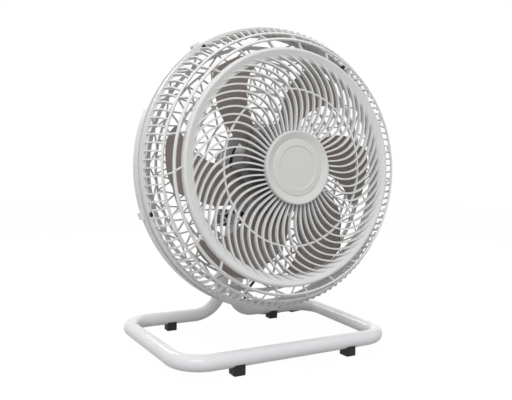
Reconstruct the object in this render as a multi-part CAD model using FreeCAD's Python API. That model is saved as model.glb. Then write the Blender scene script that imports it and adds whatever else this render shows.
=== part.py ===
import FreeCAD, Part
import math
import os

# Floor fan with a round grilled head that tilts on a low frame of one bent tube.
# Millimetres, +Z up, the fan faces -Y, origin on the floor under the middle of the base.

# Placing of the head
axis_height = 320.0
rim_plane_y = -62.0
overrun = 1.0
fit_gap = 0.05
seat_gap = 0.15
move_gap = 0.3
down_deg = 270.0
diagonal_share = 0.7071
bend_middle_share = 0.3

# Base frame: one bent tube
tube_radius = 12.7
tube_wall = 1.4
tube_height = 23.5
base_depth = 282.0
front_half_width = 193.0
rear_half_width = 212.0
bend_radius = 50.0
leg_offset = 17.0
leg_lean_deg = 20.0
leg_end_over = 13.0

# Leg plugs
leg_plug_dome = 4.0
leg_plug_depth = 16.0

# Feet
foot_width = 20.0
foot_depth = 22.0
foot_height = 21.0
foot_corner = 3.0
front_foot_offset = 106.5
rear_foot_offset = 117.0
foot_screw_radius = 2.0
foot_head_radius = 4.0
foot_head_height = 2.4
foot_head_recess = 3.0
foot_screw_reach = 2.5

# Tilt pivot
pivot_height = 228.0
bolt_radius = 4.0
bolt_head_radius = 7.0
bolt_head_height = 5.0
bolt_head_sides = 6
washer_radius = 9.5
washer_thick = 2.0
tongue_thick = 8.0
tongue_boss_radius = 13.0
saddle_thick = 3.0
saddle_half_angle_deg = 24.0
saddle_setback = 14.0
saddle_length = 28.0
bracket_screw_radius = 2.0
bracket_head_radius = 3.8
bracket_head_height = 2.2
bracket_screw_reach = 4.0
bracket_screw_angle_deg = 17.0
bracket_screw_inset = 6.0

# Tilt knob
tilt_knob_radius = 17.0
tilt_knob_height = 16.0
tilt_knob_round = 2.0
tilt_knob_lobes = 5
tilt_knob_flute_radius = 7.0
tilt_knob_flute_out = 4.0
tilt_nut_radius = 6.5
tilt_nut_height = 11.0

# Rims of the two grilles
rim_radius = 246.0
rim_wall = 2.5
rim_nest = 0.4
rear_rim_s = -20.0
rear_rim_depth = 20.0
front_rim_front = 16.0
rim_flange = 12.0
front_flange = 6.5

# Snap clips round the rims, each midway between two drum ribs
clip_count = 5
clip_rib_steps = 4.5
clip_nub_width = 13.0
clip_nub_out = 5.5
clip_nub_back = 3.0
clip_nub_length = 13.0
clip_nub_round = 2.2
latch_width = 7.0
latch_depth = 7.0
latch_skin = 1.0
latch_proud = 0.3

# Front grille: drum ribs and hoops
drum_count = 115
long_every = 5
drum_first_deg = 185.1
rib_thick = 2.2
drum_inset = 2.5
drum_depth = 4.5
drum_shoulder_r_share = 0.72
drum_shoulder_s_share = 0.62
hoop_thick = 2.5
outer_hoop_radius = 222.5
outer_hoop_s = 54.0
outer_hoop_band = 3.8
outer_hoop_lean_deg = 45.0
inner_hoop_radius = 209.6
inner_hoop_s = 70.0
inner_hoop_band = 4.4
inner_hoop_lean_deg = 40.0
long_rib_turn_deg = 3.7
long_rib_hoop_turn_deg = 1.4
long_rib_depth = 5.0

# Front grille: nozzle ring
nozzle_radius = 197.0
nozzle_front_s = 73.5
nozzle_skirt = 10.0
nozzle_thick = 3.0
nozzle_lip = 5.0
funnel_radius = 182.0
funnel_drop = 4.0
throat_radius = 178.0
throat_length = 14.0
throat_bend = 4.0

# Front grille: spiral ribs, mid ring and hub ring
spiral_count = 54
spiral_first_deg = 6.9
spiral_sweep_deg = 31.3
spiral_counter_deg = 27.5
spiral_thick = 2.6
spiral_front_s = 71.3
spiral_depth = 6.0
spiral_tip_radius = 189.0
spiral_tip_rear_s = 68.7
spiral_steps = 7
mid_ring_radius = 130.0
mid_ring_band = 2.6
mid_ring_setback = 1.5
mid_ring_depth = 4.0
hub_radius = 59.0
hub_wall = 2.5
hub_front_s = 74.0
hub_lip = 8.0

# Hub badge
badge_radius = 61.0
badge_rim_front_s = 78.6
badge_skirt_s = 71.9
badge_rim_width = 2.0
badge_rim_slope = 1.2
badge_floor_s = 74.4
badge_floor_radius = 47.0
badge_step_rise = 0.9
badge_step_inner = 36.0
badge_step_tilt = 0.6
badge_centre_drop = 1.0
badge_back_drop = 2.2
badge_collar = 2.2
badge_collar_length = 6.0

# Rear grille
dish_back_s = -46.5
back_thick = 3.5
back_outer_radius = 201.0
back_inner_radius = 68.0
back_plate_radius = 86.0
hoop_radii = [115.0, 144.0, 173.0]
hoop_band = 3.6
strut_width = 2.4
zigzag_count = 23
outer_zigzag_count = 46
outer_zigzag_from = 140.0
dish_hoop_radius = 219.0
dish_hoop_s = -32.0
dish_hoop_band = 6.0
dish_strut_depth = 4.0
dish_root_share = 0.75
dish_rim_reach = 5.0
dish_rim_share = 0.36

# Impeller
blade_count = 6
blade_first_deg = 190.0
blade_thick = 2.4
blade_tip_radius = 202.0
blade_mid_s = 19.0
blade_root_pitch_deg = 29.0
blade_tip_pitch_deg = 13.0
blade_camber = 18.0
blade_root_mid_share = 0.06
blade_tip_mid_share = -0.16
blade_slab_lead_share = 0.62
blade_slab_trail_share = 0.36
blade_slab_root_share = 0.3
blade_slab_tip_share = 1.04
fan_hub_radius = 78.0
fan_hub_wall = 2.5
fan_hub_front_s = 34.0
fan_hub_rear_s = -12.0
fan_hub_round = 8.0
boss_radius = 11.0
boss_rear_s = 4.0
# Blade outline as pairs: share of the tip radius, degrees from the blade's middle line
lead_radius_shares = [0.371, 0.52, 0.644, 0.782, 0.866, 0.941]
lead_angles_deg = [-8.0, -11.5, -14.5, -20.0, -25.0, -29.5]
trail_radius_shares = [0.941, 0.866, 0.782, 0.7, 0.589, 0.371]
trail_angles_deg = [4.0, 7.0, 12.5, 17.0, 22.0, 28.0]
tip_radius_shares = [0.985, 1.0, 0.985]
tip_angles_deg = [-25.0, -13.5, -2.0]

# Motor
shaft_radius = 4.0
shaft_front_s = 43.0
shaft_rear_s = -118.0
pin_radius = 1.5
pin_length = 19.0
pin_slot_depth = 4.0
shaft_clear = 2.0
nut_radius = 12.0
nut_length = 12.0
nut_flutes = 8
nut_flute_radius = 2.0
motor_radius = 66.0
motor_wall = 2.5
nose_front_s = -22.0
nose_round = 6.0
flange_radius = 83.0
flange_thick = 4.0
split_s = -72.0
motor_rear_s = -126.0
cover_round = 9.0
vent_count = 18
vent_width = 4.0
vent_length = 22.0
vent_setback = 14.0
bearing_radius = 11.0
bearing_length = 9.0
bearing_gap = 0.03
bearing_wall = 3.0
stator_bore = 30.4
stator_length = 26.0
stator_front_s = -56.0
winding_inner = 34.0
winding_outer = 55.0
winding_height = 12.0
rotor_gap = 0.4
lug_radius = 6.0
lug_out = 70.0
lug_length = 12.0
lug_count = 4
lug_first_deg = 45.0
motor_screw_radius = 2.0
motor_head_radius = 3.6
motor_head_height = 2.4
plate_screw_radius = 1.8
plate_head_radius = 3.6
plate_head_height = 2.2
plate_screw_count = 4

# Speed switch, its knob and the capacitor
switch_height = 34.0
switch_width = 26.0
switch_depth = 16.0
switch_shaft_radius = 3.0
switch_shaft_length = 13.0
speed_knob_radius = 14.0
speed_knob_height = 16.0
speed_knob_flutes = 12
speed_knob_flute_radius = 1.6
speed_knob_wall = 2.0
capacitor_width = 36.0
capacitor_height = 20.0
capacitor_depth = 16.0
capacitor_drop = 38.0

# Mains cord
cord_diameter = 6.0
cord_sides = 8
gland_angle_deg = -50.0
gland_s = -104.0
gland_end_x = 66.0
gland_collar_radius = 9.0
gland_collar_length = 5.0
gland_root_radius = 7.0
gland_tip_radius = 4.6
gland_sink = 6.0
gland_grooves = 5
gland_groove_width = 2.0
gland_groove_depth = 1.1
cord_bend_share = 0.45
cord_lead = 34.0
cord_land = 18.0
# Points of the route between the strain relief and the coil on the floor behind the base
cord_route = [
    (90.0, 96.0, 170.0),
    (89.0, 108.0, 138.0),
    (78.0, 120.0, 108.0),
    (64.0, 132.0, 82.0),
    (54.7, 144.0, 62.6),
    (55.9, 157.2, 42.7),
    (63.8, 164.7, 28.4),
    (77.4, 168.6, 17.3),
]
coil_x = 128.0
coil_y = 201.0
coil_outer_radius = 40.4
coil_loops = 6
coil_gap = 0.7
coil_lift = 1.5
coil_cross_turns = 0.5
coil_mark_turns = 0.25
coil_start_deg = 255.0
coil_end_deg = 285.0
coil_end_run = 30.0
tie_width = 5.0
tie_thick = 1.2
tie_angle_deg = 60.0
plug_length = 32.0
plug_width = 28.0
plug_height = 13.0
plug_corner = 3.0
plug_neck = 14.0
plug_neck_radius = 3.4
plug_pin_radius = 2.0
plug_pin_length = 19.0
plug_pin_pitch = 19.0

os.makedirs("parts", exist_ok=True)

V = FreeCAD.Vector
X = V(1, 0, 0)
Y = V(0, 1, 0)
Z = V(0, 0, 1)
ZERO = V(0, 0, 0)

HEAD = FreeCAD.Placement(V(0, rim_plane_y, axis_height), FreeCAD.Rotation(X, 90))


def rad(deg):
    return math.radians(deg)


def polar(radius, deg, s=0.0):
    return V(radius * math.cos(rad(deg)), radius * math.sin(rad(deg)), s)


def placed(shape, placement=HEAD):
    out = shape.copy()
    out.Placement = placement.multiply(out.Placement)
    return out


def in_world(point):
    return HEAD.multVec(point)


def save(name, shape):
    solids = shape.Solids
    out = solids[0] if len(solids) == 1 else Part.makeCompound(solids)
    out.exportStep("parts/" + name + ".step")
    print(name, len(solids), round(shape.Volume), shape.isValid())
    return out


def polygon(points):
    return Part.makePolygon(list(points) + [points[0]])


def turned(points):
    """Full turn about the head axis of a closed outline of (radius, s) pairs."""
    face = Part.Face(polygon([V(r, 0, s) for r, s in points]))
    return face.revolve(ZERO, Z, 360)


def turned_edges(edges):
    return Part.Face(Part.Wire(edges)).revolve(ZERO, Z, 360)


def at(r, s):
    return V(r, 0, s)


def rod(start, axis, radius, length):
    return Part.makeCylinder(radius, length, start, axis)


def around(shape, count, first_deg=0.0):
    out = []
    for i in range(count):
        copy = shape.copy()
        copy.rotate(ZERO, Z, first_deg + i * 360.0 / count)
        out.append(copy)
    return out


def bent_path(points, radii):
    """Straight runs through the points, with a tangent arc at each inner point."""
    edges = []
    last = points[0]
    for i in range(1, len(points) - 1):
        a = (points[i - 1] - points[i]).normalize()
        b = (points[i + 1] - points[i]).normalize()
        half = math.acos(max(-1.0, min(1.0, a.dot(b)))) / 2
        setback = radii[i - 1] / math.tan(half)
        to_centre = radii[i - 1] / math.sin(half)
        inward = (a + b).normalize()
        start = points[i] + a * setback
        end = points[i] + b * setback
        middle = points[i] + inward * (to_centre - radii[i - 1])
        edges.append(Part.LineSegment(last, start).toShape())
        edges.append(Part.Arc(start, middle, end).toShape())
        last = end
    edges.append(Part.LineSegment(last, points[-1]).toShape())
    return Part.Wire(edges)


def circle_at(point, axis, radius):
    return Part.Wire(Part.makeCircle(radius, point, axis))


def swept(path, profile):
    return path.makePipeShell([profile], True, False)


# Base frame
lean = math.tan(rad(leg_lean_deg))
leg_axis = V(0, -math.sin(rad(leg_lean_deg)), math.cos(rad(leg_lean_deg)))
rear_y = base_depth / 2
front_y = -base_depth / 2
pivot_y = rear_y - (pivot_height - tube_height) * lean
leg_foot_right = V(leg_offset, rear_y, tube_height)
leg_top_right = V(leg_offset, pivot_y, pivot_height) + leg_axis * leg_end_over
leg_foot_left = V(-leg_offset, rear_y, tube_height)
leg_top_left = V(-leg_offset, pivot_y, pivot_height) + leg_axis * leg_end_over
pivot = V(0, pivot_y, pivot_height)
frame_points = [
    leg_top_left,
    leg_foot_left,
    V(-rear_half_width, rear_y, tube_height),
    V(-front_half_width, front_y, tube_height),
    V(front_half_width, front_y, tube_height),
    V(rear_half_width, rear_y, tube_height),
    leg_foot_right,
    leg_top_right,
]
frame_path = bent_path(frame_points, [bend_radius] * (len(frame_points) - 2))
frame_outer = swept(frame_path, circle_at(leg_top_left, leg_axis, tube_radius))
frame_inner = swept(frame_path, circle_at(leg_top_left, leg_axis, tube_radius - tube_wall))
base_frame = frame_outer.cut(frame_inner)
foot_places = {
    "foot_front_left": V(-front_foot_offset, front_y, 0),
    "foot_front_right": V(front_foot_offset, front_y, 0),
    "foot_rear_left": V(-rear_foot_offset, rear_y, 0),
    "foot_rear_right": V(rear_foot_offset, rear_y, 0),
}
holes = [rod(p, Z, foot_screw_radius + seat_gap, tube_height) for p in foot_places.values()]
stack_half = leg_offset + tube_radius + washer_thick
bolt_hole = rod(pivot - X * stack_half, X, bolt_radius + fit_gap, 2 * stack_half)
base_frame = base_frame.cut(Part.makeCompound(holes + [bolt_hole]))
save("base_frame", base_frame)


def leg_plug(top):
    bore = tube_radius - tube_wall - fit_gap
    stem = rod(top - leg_axis * leg_plug_depth, leg_axis, bore, leg_plug_depth)
    across = leg_axis.cross(X)
    dome = (tube_radius ** 2 + leg_plug_dome ** 2) / (2 * leg_plug_dome)
    centre = top + leg_axis * (leg_plug_dome - dome)
    half = math.asin(tube_radius / dome) / 2
    middle = centre + (leg_axis * math.cos(half) + across * math.sin(half)) * dome
    edge = top + across * tube_radius
    crown = top + leg_axis * leg_plug_dome
    arc = Part.Arc(edge, middle, crown).toShape()
    outline = Part.Wire([arc, Part.makeLine(crown, top), Part.makeLine(top, edge)])
    whole = Part.Face(outline).revolve(top, leg_axis, 360)
    clear = rod(pivot - X * stack_half, X, bolt_radius + move_gap, 2 * stack_half)
    return stem.fuse(whole).cut(clear)


save("leg_plugs", Part.makeCompound([leg_plug(leg_top_left), leg_plug(leg_top_right)]))


def foot(place):
    block = Part.makeBox(foot_width, foot_depth, foot_height, place - V(foot_width / 2, foot_depth / 2, 0))
    upright = [e for e in block.Edges if abs(e.BoundBox.ZLength - foot_height) < fit_gap]
    block = block.makeFillet(foot_corner, upright)
    saddle_start = V(place.x - foot_width, place.y, tube_height)
    block = block.cut(rod(saddle_start, X, tube_radius + seat_gap, 2 * foot_width))
    recess = rod(place, Z, foot_head_radius + move_gap, foot_head_recess + foot_head_height)
    return block.cut(recess).cut(rod(place, Z, foot_screw_radius + seat_gap, foot_height))


def foot_screw(place):
    head = rod(place + Z * foot_head_recess, Z, foot_head_radius, foot_head_height)
    shank_top = tube_height - tube_radius + tube_wall + foot_screw_reach
    return head.fuse(rod(place + Z * foot_head_recess, Z, foot_screw_radius, shank_top - foot_head_recess))


for name, place in foot_places.items():
    save(name, foot(place))
save("foot_screws", Part.makeCompound([foot_screw(p) for p in foot_places.values()]))

# Tilt clamp
leg_rods = Part.makeCompound([
    rod(leg_foot_left, leg_axis, tube_radius + seat_gap, (leg_top_left - leg_foot_left).Length),
    rod(leg_foot_right, leg_axis, tube_radius + seat_gap, (leg_top_right - leg_foot_right).Length),
])
washer_start = leg_offset + tube_radius - washer_thick
washers = []
for side in (-1, 1):
    disc = rod(pivot + X * side * washer_start, X * side, washer_radius, 2 * washer_thick)
    disc = disc.cut(leg_rods)
    washers.append(disc.cut(rod(pivot - X * stack_half * 2, X, bolt_radius + fit_gap, stack_half * 4)))
save("tilt_washers", Part.makeCompound(washers))

hex_points = [V(stack_half, 0, 0) + V(0, 1, 0) * bolt_head_radius * math.cos(rad(a)) +
              V(0, 0, 1) * bolt_head_radius * math.sin(rad(a))
              for a in [i * 360.0 / bolt_head_sides for i in range(bolt_head_sides)]]
hex_head = Part.Face(polygon([pivot + p for p in hex_points])).extrude(X * bolt_head_height)
bolt_length = stack_half * 2 + move_gap + tilt_knob_height - tilt_knob_round
bolt_start = pivot + X * (stack_half - bolt_length)
tilt_bolt = rod(bolt_start, X, bolt_radius, bolt_length).fuse(hex_head)
save("tilt_bolt", tilt_bolt)

knob_face = pivot - X * (stack_half + move_gap)
knob = rod(knob_face, X * -1, tilt_knob_radius, tilt_knob_height)
knob = knob.makeFillet(tilt_knob_round, knob.Edges)
flutes = []
for i in range(tilt_knob_lobes):
    a = rad(i * 360.0 / tilt_knob_lobes)
    out = tilt_knob_radius + tilt_knob_flute_out
    flutes.append(rod(knob_face + V(0, out * math.cos(a), out * math.sin(a)), X * -1,
                      tilt_knob_flute_radius, tilt_knob_height))
nut_pocket = rod(knob_face, X * -1, tilt_nut_radius + fit_gap, tilt_nut_height)
knob_bore = rod(knob_face, X * -1, bolt_radius + fit_gap, tilt_knob_height - tilt_knob_round / 2)
knob = knob.cut(Part.makeCompound(flutes)).cut(nut_pocket).cut(knob_bore)
save("tilt_knob", knob)
nut_insert = rod(knob_face, X * -1, tilt_nut_radius, tilt_nut_height).cut(knob_bore)
save("tilt_knob_nut", nut_insert)

# Front grille
front_outer = rim_radius - rim_wall - rim_nest
front_inner = front_outer - rim_wall
flange_inner = front_outer - front_flange
front_seat_s = rear_rim_s + rim_wall + seat_gap
front_rim = turned([
    (front_inner, front_seat_s),
    (front_outer, front_seat_s),
    (front_outer, front_rim_front),
    (flange_inner, front_rim_front),
    (flange_inner, front_rim_front - rim_wall),
    (front_inner, front_rim_front - rim_wall),
])
clip_first_deg = drum_first_deg + clip_rib_steps * 360.0 / drum_count
latch_outer = front_outer - latch_skin
notch = Part.makeBox(
    latch_outer - flange_inner + overrun, latch_width, latch_depth + overrun,
    V(flange_inner - overrun, -latch_width / 2, front_rim_front - latch_depth),
)
front_rim = front_rim.cut(Part.makeCompound(around(notch, clip_count, clip_first_deg)))
latch = Part.makeBox(
    latch_outer - flange_inner - seat_gap, latch_width - 2 * seat_gap, latch_depth + latch_proud - seat_gap,
    V(flange_inner, -latch_width / 2 + seat_gap, front_rim_front - latch_depth + seat_gap),
)
save("rim_latches", placed(Part.makeCompound(around(latch, clip_count, clip_first_deg))))


def band(radius, s, width, thick, lean_deg):
    """Hoop of a flat band that leans inward towards the front."""
    along_r = -math.cos(rad(lean_deg))
    along_s = math.sin(rad(lean_deg))
    corners = []
    for a, b in ((-1, -1), (1, -1), (1, 1), (-1, 1)):
        dr = a * width / 2 * along_r + b * thick / 2 * along_s
        ds = a * width / 2 * along_s - b * thick / 2 * along_r
        corners.append((radius + dr, s + ds))
    return turned(corners)


outer_hoop = band(outer_hoop_radius, outer_hoop_s, outer_hoop_band, hoop_thick, outer_hoop_lean_deg)
inner_hoop = band(inner_hoop_radius, inner_hoop_s, inner_hoop_band, hoop_thick, inner_hoop_lean_deg)

drum_r = front_outer - drum_inset
shoulder_r = outer_hoop_radius + (drum_r - outer_hoop_radius) * drum_shoulder_r_share
shoulder_s = front_rim_front + (outer_hoop_s - front_rim_front) * drum_shoulder_s_share
root_s = front_rim_front - rim_wall / 2
hoop_drop = drum_depth * diagonal_share
drum_outline = [
    (drum_r, root_s),
    (shoulder_r, shoulder_s),
    (outer_hoop_radius, outer_hoop_s),
    (outer_hoop_radius - hoop_drop, outer_hoop_s - hoop_drop),
    (shoulder_r - drum_depth, shoulder_s - drum_depth / 2),
    (drum_r - drum_depth, root_s),
]
drum_face = Part.Face(polygon([V(r, -rib_thick / 2, s) for r, s in drum_outline]))
drum_rib = drum_face.extrude(Y * rib_thick)
drum_ribs = around(drum_rib, drum_count, drum_first_deg)


def bar(start, end, width, depth, down):
    """Straight bar of rectangular section that hangs below the line from start to end."""
    side = (end - start).cross(down).normalize()
    below = side.cross(end - start).normalize()
    if below.dot(down) < 0:
        below = below * -1
    half = side * (width / 2)
    corners = [start + half, start - half, start - half + below * depth, start + half + below * depth]
    return Part.Face(polygon(corners)).extrude(end - start)


long_points = [
    polar(outer_hoop_radius, 0, outer_hoop_s),
    polar(inner_hoop_radius, -long_rib_hoop_turn_deg, inner_hoop_s),
    polar(nozzle_radius - nozzle_thick / 2, -long_rib_turn_deg, nozzle_front_s - nozzle_thick),
]
long_count = drum_count // long_every
long_outer = bar(long_points[0], long_points[1], rib_thick, long_rib_depth, V(-1, 0, -1))
long_inner = bar(long_points[1], long_points[2], rib_thick, long_rib_depth, V(0, 0, -1))
long_outer_ribs = around(long_outer, long_count, drum_first_deg)
long_inner_ribs = around(long_inner, long_count, drum_first_deg)

# The nozzle: outer lip, shallow funnel, bend and throat
funnel_s = nozzle_front_s - funnel_drop
throat_s = funnel_s - throat_length
funnel_bend_s = funnel_s - throat_bend
lip_middle = nozzle_lip * (1 - diagonal_share)
nozzle_outline = [
    at(throat_radius, throat_s),
    at(throat_radius + nozzle_thick, throat_s),
    at(throat_radius + nozzle_thick, funnel_bend_s - nozzle_thick / 2),
    at(funnel_radius + nozzle_thick / 2, funnel_s - nozzle_thick),
    at(nozzle_radius - nozzle_lip, nozzle_front_s - nozzle_thick),
    at(nozzle_radius - nozzle_thick, nozzle_front_s - nozzle_lip),
    at(nozzle_radius - nozzle_thick, nozzle_front_s - nozzle_skirt),
    at(nozzle_radius, nozzle_front_s - nozzle_skirt),
    at(nozzle_radius, nozzle_front_s - nozzle_lip),
]
lip_arc = Part.Arc(
    nozzle_outline[-1],
    at(nozzle_radius - lip_middle, nozzle_front_s - lip_middle),
    at(nozzle_radius - nozzle_lip, nozzle_front_s),
)
throat_middle_r = throat_radius + (funnel_radius - throat_radius) * bend_middle_share
throat_arc = Part.Arc(
    at(funnel_radius, funnel_s),
    at(throat_middle_r, funnel_s - throat_bend * bend_middle_share),
    at(throat_radius, funnel_bend_s),
)
nozzle_edges = [Part.makeLine(p, q) for p, q in zip(nozzle_outline[:-1], nozzle_outline[1:])]
nozzle_edges.append(lip_arc.toShape())
nozzle_edges.append(Part.makeLine(lip_arc.EndPoint, throat_arc.StartPoint))
nozzle_edges.append(throat_arc.toShape())
nozzle_edges.append(Part.makeLine(throat_arc.EndPoint, nozzle_outline[0]))
nozzle = turned_edges(nozzle_edges)


def spiral_angle(share):
    return spiral_sweep_deg * share * share - spiral_counter_deg * share * (1 - share)


def spiral_point(share, side=0.0):
    """Point on the S-curve of a rib, moved sideways by half of its thickness."""
    r = hub_radius + (spiral_tip_radius - hub_radius) * share
    step = 1.0 / spiral_steps / spiral_steps
    here = polar(r, spiral_angle(share))
    r_next = hub_radius + (spiral_tip_radius - hub_radius) * (share + step)
    ahead = polar(r_next, spiral_angle(share + step)) - here
    normal = V(-ahead.y, ahead.x, 0).normalize()
    return here + normal * side


deep_share = (throat_radius + nozzle_thick / 2 - hub_radius) / (spiral_tip_radius - hub_radius)


def curve(points):
    spline = Part.BSplineCurve()
    spline.interpolate(points)
    return spline.toShape()


def spiral_plan(first_share, last_share, last_thick):
    near = []
    far = []
    for i in range(spiral_steps):
        t = i / (spiral_steps - 1)
        share = first_share + (last_share - first_share) * t
        half = (spiral_thick + (last_thick - spiral_thick) * t) / 2
        near.append(spiral_point(share, -half))
        far.append(spiral_point(share, half))
    far.reverse()
    edges = [curve(near), Part.makeLine(near[-1], far[0]), curve(far), Part.makeLine(far[-1], near[0])]
    return Part.Face(Part.Wire(edges))


start_share = -hub_wall / 2 / (spiral_tip_radius - hub_radius)
spiral_rear_s = spiral_front_s - spiral_depth
deep = spiral_plan(start_share, deep_share, spiral_thick).extrude(Z * spiral_depth)
deep.translate(Z * spiral_rear_s)
near = spiral_point(deep_share, -spiral_thick / 2)
far = spiral_point(deep_share, spiral_thick / 2)
tip_plan = Part.Face(polygon([near, spiral_point(1.0), far]))
tip = tip_plan.extrude(Z * (spiral_front_s - spiral_tip_rear_s))
tip.translate(Z * spiral_tip_rear_s)
spiral_ribs = around(deep.fuse(tip), spiral_count, spiral_first_deg)

mid_front_s = spiral_front_s - mid_ring_setback
mid_ring = turned([
    (mid_ring_radius - mid_ring_band / 2, mid_front_s),
    (mid_ring_radius + mid_ring_band / 2, mid_front_s),
    (mid_ring_radius + mid_ring_band / 2, mid_front_s - mid_ring_depth),
    (mid_ring_radius - mid_ring_band / 2, mid_front_s - mid_ring_depth),
])
hub_ring = turned([
    (hub_radius - hub_wall, spiral_rear_s),
    (hub_radius, spiral_rear_s),
    (hub_radius, hub_front_s),
    (hub_radius - hub_lip, hub_front_s),
    (hub_radius - hub_lip, hub_front_s - hub_wall),
    (hub_radius - hub_wall, hub_front_s - hub_wall),
])
rings = Part.makeCompound([front_rim, outer_hoop, inner_hoop, nozzle, mid_ring, hub_ring])
front_grille = rings.multiFuse([
    Part.makeCompound(drum_ribs + spiral_ribs),
    Part.makeCompound(long_outer_ribs),
    Part.makeCompound(long_inner_ribs),
])
save("front_grille", placed(front_grille))

# Hub badge: a cap with a raised rim and low steps that snaps into the hub ring
badge_inner = hub_radius + move_gap
collar_outer = hub_radius - hub_lip - fit_gap
rim_inner = badge_radius - badge_rim_slope - badge_rim_width
step_top_s = badge_floor_s + badge_step_rise + badge_step_tilt
badge_back_s = hub_front_s - badge_back_drop
hub_badge = turned([
    (badge_inner, badge_skirt_s),
    (badge_radius, badge_skirt_s),
    (badge_radius, badge_rim_front_s - badge_rim_slope),
    (badge_radius - badge_rim_slope, badge_rim_front_s),
    (rim_inner, badge_rim_front_s),
    (badge_floor_radius, badge_floor_s),
    (badge_floor_radius - badge_step_rise, badge_floor_s + badge_step_rise),
    (badge_step_inner, step_top_s),
    (badge_step_inner - badge_centre_drop, step_top_s - badge_centre_drop),
    (0, step_top_s - badge_centre_drop),
    (0, badge_back_s),
    (collar_outer - badge_collar, badge_back_s),
    (collar_outer - badge_collar, hub_front_s - badge_collar_length),
    (collar_outer, hub_front_s - badge_collar_length),
    (collar_outer, hub_front_s),
    (badge_inner, hub_front_s),
])
save("hub_badge", placed(hub_badge))

# Rear grille: rim, dish and a flat back with a lattice of hoops and zigzag struts
back_rear_s = dish_back_s - back_thick


def on_circle(point, along, radius, near):
    b = point.dot(along)
    root = math.sqrt(b * b - point.dot(point) + radius * radius)
    options = [point + along * (-b - root), point + along * (-b + root)]
    return min(options, key=lambda q: (q - near).Length)


def lattice_hole(a, b, apex, base_edge, far_edge):
    """Gap between two struts that meet at apex, closed by the edge of a hoop."""
    middle = (a + b + apex) * (1 / 3)
    sides = []
    for corner in (a, b):
        along = (apex - corner).normalize()
        normal = V(-along.y, along.x, 0)
        if normal.dot(middle - corner) < 0:
            normal = normal * -1
        sides.append((corner + normal * (strut_width / 2), along))
    p = on_circle(sides[0][0], sides[0][1], base_edge, a)
    q = on_circle(sides[1][0], sides[1][1], base_edge, b)
    cross = sides[0][1].cross(sides[1][1]).z
    reach = (sides[1][0] - sides[0][0]).cross(sides[1][1]).z / cross
    top = sides[0][0] + sides[0][1] * reach
    if (top.Length - far_edge) * (far_edge - base_edge) > 0:
        p_top = on_circle(sides[0][0], sides[0][1], far_edge, apex)
        q_top = on_circle(sides[1][0], sides[1][1], far_edge, apex)
        return polygon([p, q, q_top, p_top])
    return polygon([p, q, top])


back_hoops = [back_plate_radius - hoop_band / 2] + hoop_radii + [back_outer_radius]
gaps = []
for inner, outer in zip(back_hoops[:-1], back_hoops[1:]):
    count = outer_zigzag_count if inner > outer_zigzag_from else zigzag_count
    pitch = 360.0 / count
    inner_edge = inner + hoop_band / 2
    outer_edge = outer - hoop_band / 2
    for i in range(count):
        low = [polar(inner, (i + k) * pitch) for k in (0, 1)]
        high = [polar(outer, (i + k) * pitch + pitch / 2) for k in (0, 1)]
        gaps.append(lattice_hole(low[0], low[1], high[0], inner_edge, outer_edge))
        gaps.append(lattice_hole(high[0], high[1], low[1], outer_edge, inner_edge))
back_rim = back_outer_radius + hoop_band / 2
outline = [circle_at(ZERO, Z, back_rim), circle_at(ZERO, Z, back_inner_radius)]
plate_screw_places = [polar((motor_radius + flange_radius) / 2, i * 360.0 / plate_screw_count, 0)
                      for i in range(plate_screw_count)]
screw_holes = [circle_at(p, Z, plate_screw_radius + seat_gap) for p in plate_screw_places]
back_face = Part.Face(outline + gaps + screw_holes)
back_face.validate()
back = back_face.extrude(Z * back_thick)
back.translate(Z * back_rear_s)
rear_rim = turned([
    (rim_radius - rim_flange, rear_rim_s),
    (rim_radius, rear_rim_s),
    (rim_radius, rear_rim_s + rear_rim_depth),
    (rim_radius - rim_wall, rear_rim_s + rear_rim_depth),
    (rim_radius - rim_wall, rear_rim_s + rim_wall),
    (rim_radius - rim_flange, rear_rim_s + rim_wall),
])
dish_hoop = turned([
    (dish_hoop_radius - dish_hoop_band / 2, dish_hoop_s - dish_hoop_band / 2),
    (dish_hoop_radius + dish_hoop_band / 2, dish_hoop_s - dish_hoop_band / 2),
    (dish_hoop_radius + dish_hoop_band / 2, dish_hoop_s + dish_hoop_band / 2),
    (dish_hoop_radius - dish_hoop_band / 2, dish_hoop_s + dish_hoop_band / 2),
])
nub = Part.makeBox(
    clip_nub_out + rim_wall / 2, clip_nub_width, clip_nub_length,
    V(rim_radius - rim_wall / 2, -clip_nub_width / 2, rear_rim_s + clip_nub_back),
)
nub_edges = [e for e in nub.Edges if e.BoundBox.XMin > rim_radius + clip_nub_round]
nub = nub.makeFillet(clip_nub_round, nub_edges)
nubs = around(nub, clip_count, clip_first_deg)
dish_pitch = 360.0 / zigzag_count
dish_levels = [
    (back_outer_radius, dish_back_s - back_thick * dish_root_share),
    (dish_hoop_radius, dish_hoop_s),
    (rim_radius - rim_flange + dish_rim_reach, rear_rim_s + rim_wall * dish_rim_share),
]
dish_down = V(-1, 0, 1)
rising = []
falling = []
for level in (0, 1):
    r0, s0 = dish_levels[level]
    r1, s1 = dish_levels[level + 1]
    turn = dish_pitch / 2
    shift = level * turn
    foot_point = polar(r0, shift, s0)
    up = bar(foot_point, polar(r1, shift + turn, s1), strut_width, dish_strut_depth / 2, dish_down)
    dn = bar(foot_point, polar(r1, shift - turn, s1), strut_width, dish_strut_depth / 2, dish_down)
    rising.append(around(up, zigzag_count))
    falling.append(around(dn, zigzag_count))
rear_grille = Part.makeCompound([back, rear_rim, dish_hoop]).multiFuse([
    Part.makeCompound(rising[0]),
    Part.makeCompound(falling[0]),
    Part.makeCompound(rising[1]),
    Part.makeCompound(falling[1]),
    Part.makeCompound(nubs),
])
save("rear_grille", placed(rear_grille))

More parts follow.
